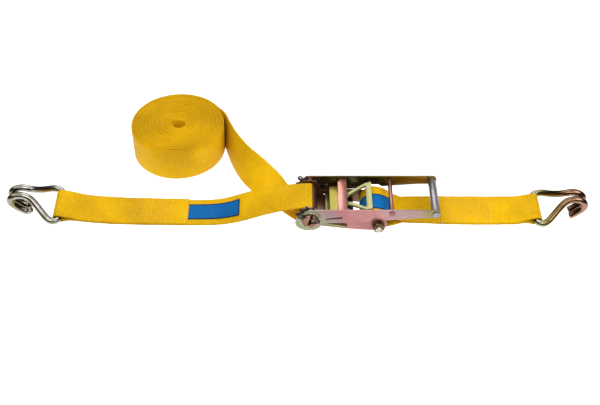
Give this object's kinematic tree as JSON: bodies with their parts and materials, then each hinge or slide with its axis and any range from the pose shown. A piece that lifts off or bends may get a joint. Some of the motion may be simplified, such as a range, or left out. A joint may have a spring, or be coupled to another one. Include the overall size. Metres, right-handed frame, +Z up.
{
  "type": "ratchet tie down",
  "caption": "Webbing ratchet tie down: lever ratchet on a slotted spool, sewn fixed strap, long strap coiled to a roll, and a double claw hook at each end.",
  "frame": {"origin": "middle of the spool axis, centred across the webbing", "axes": "+X toward the fixed end and its hook, +Y across the webbing to the side the coiled strap lies on, +Z up from the surface it rests on"},
  "size_m": [1.2238, 0.3913, 0.0826],
  "materials": {
    "yellow_webbing": "woven polyester webbing",
    "blue_label": "printed cloth label, plain",
    "iridescent_zinc": "zinc plated, iridescent pink to green",
    "yellow_zinc": "zinc plated, yellow-green passivated",
    "frame_zinc": "zinc plated, olive passivated",
    "dark_steel": "zinc plated, brown passivated",
    "copper_zinc": "zinc plated, copper tint",
    "spring_steel": "bright",
    "loose_hook_zinc": "zinc plated, silver to olive",
    "fixed_hook_zinc": "zinc plated, bronze to copper"
  },
  "bodies": {
    "frame": {"frame_plate_near": "frame_zinc", "frame_plate_far": "frame_zinc", "frame_bridge": "frame_zinc", "frame_floor": "frame_zinc", "fixed_end_bolt": "dark_steel", "fixed_end_nut": "dark_steel", "fixed_end_washers": "dark_steel", "spacer_sleeve": "frame_zinc", "lock_pawl_spring": "spring_steel", "tail_strap": "yellow_webbing", "strap_roll": "yellow_webbing"},
    "spool": {"mandrel_half_left": "copper_zinc", "mandrel_half_right": "copper_zinc", "ratchet_wheel_near": "dark_steel", "ratchet_wheel_far": "dark_steel", "spool_washers": "dark_steel", "split_pins": "spring_steel", "spool_webbing": "yellow_webbing"},
    "handle": {"handle_cheek_near": "iridescent_zinc", "handle_cheek_far": "iridescent_zinc", "handle_web": "iridescent_zinc", "handle_cross_bar": "iridescent_zinc", "handle_grip_tube": "iridescent_zinc", "grip_rivet": "iridescent_zinc", "drive_pawl_springs": "spring_steel"},
    "drive_pawl": {"drive_pawl": "yellow_zinc", "drive_pawl_guides": "yellow_zinc"},
    "lock_pawl": {"lock_pawl": "yellow_zinc", "lock_pawl_guide": "yellow_zinc"},
    "loose_strap": {"loose_strap": "yellow_webbing", "loose_strap_label": "blue_label"},
    "fixed_strap": {"fixed_strap": "yellow_webbing", "fixed_strap_label": "blue_label"},
    "loose_hook": {"loose_end_hook": "loose_hook_zinc"},
    "fixed_hook": {"fixed_end_hook": "fixed_hook_zinc"}
  },
  "joints": [
    {"name": "handle_open", "type": "hinge", "parent": "frame", "child": "handle", "pos_m": [0, 0, 0], "axis": [0, -1, 0], "range_deg": [0, 150]},
    {"name": "spool_turn", "type": "hinge", "parent": "frame", "child": "spool", "pos_m": [0, 0, 0], "axis": [0, -1, 0], "continuous": true},
    {"name": "drive_pawl_slide", "type": "slide", "parent": "handle", "child": "drive_pawl", "axis": [-0.9903, 0, -0.1392], "range_m": [-0.002, 0.0065], "deforming": ["drive_pawl_springs"]},
    {"name": "lock_pawl_slide", "type": "slide", "parent": "frame", "child": "lock_pawl", "axis": [-0.9781, 0, 0.2079], "range_m": [-0.002, 0.0065], "deforming": ["lock_pawl_spring"]},
    {"name": "loose_strap_lift", "type": "hinge", "parent": "frame", "child": "loose_strap", "pos_m": [0, 0, 0], "axis": [0, 1, 0], "range_deg": [-4, 60]},
    {"name": "loose_hook_swing", "type": "hinge", "parent": "loose_strap", "child": "loose_hook", "pos_m": [-0.5295, 0, -0.0128], "axis": [0, 0.9981, 0.061], "range_deg": [-140, 120]},
    {"name": "fixed_strap_swing", "type": "hinge", "parent": "frame", "child": "fixed_strap", "pos_m": [0.145, 0, -0.025], "axis": [0, 1, 0], "range_deg": [-8, 110]},
    {"name": "fixed_hook_swing", "type": "hinge", "parent": "fixed_strap", "child": "fixed_hook", "pos_m": [0.48, 0, -0.022], "axis": [0, -1, 0], "range_deg": [-140, 120]}
  ]
}
